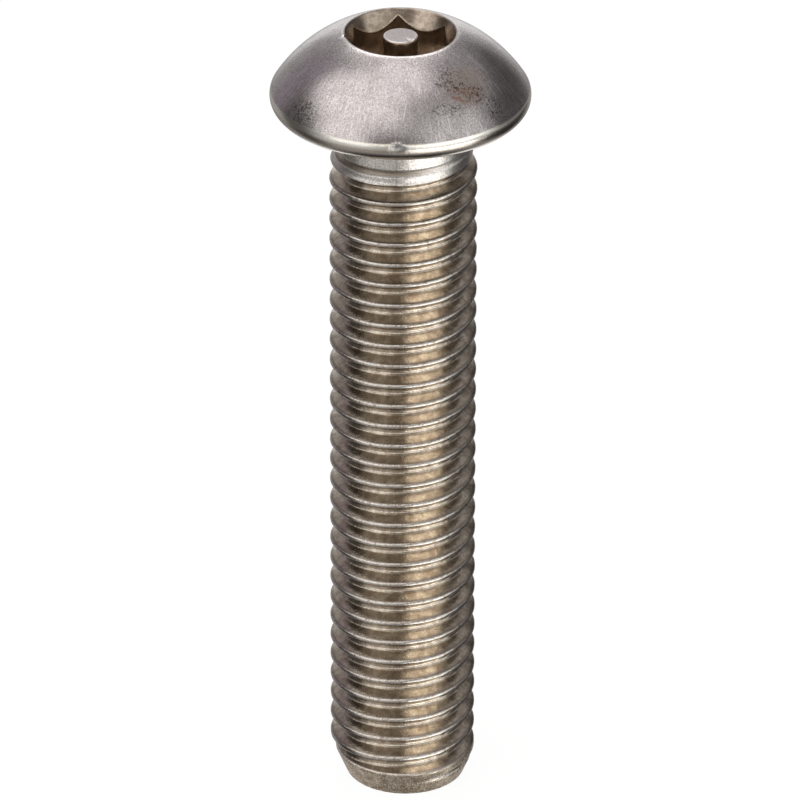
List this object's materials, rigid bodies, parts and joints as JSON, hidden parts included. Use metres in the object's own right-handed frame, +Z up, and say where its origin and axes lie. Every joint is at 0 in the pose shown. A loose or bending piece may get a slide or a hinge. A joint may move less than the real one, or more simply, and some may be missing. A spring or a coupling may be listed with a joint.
{
  "type": "button head screw",
  "caption": "Stainless steel button head machine screw, M10 x 1.5 x 50 mm, with a tamper-resistant pin-in-hex socket, a short plain neck and a right-hand thread to a chamfered end.",
  "frame": {"origin": "centre of the flat end face at the foot of the thread, the lowest point of the screw as it stands", "axes": "+Z up the screw's axis, from the end face to the head; one corner of the hexagonal socket points along +Y and two of its flats face +X and -X"},
  "size_m": [0.0172, 0.0172, 0.0555],
  "materials": {
    "stainless": "bright cold-forged and rolled stainless steel, with fine scratches, dull patches and a small brown stain on the head"
  },
  "bodies": {
    "root": {"screw": "stainless"}
  },
  "joints": []
}
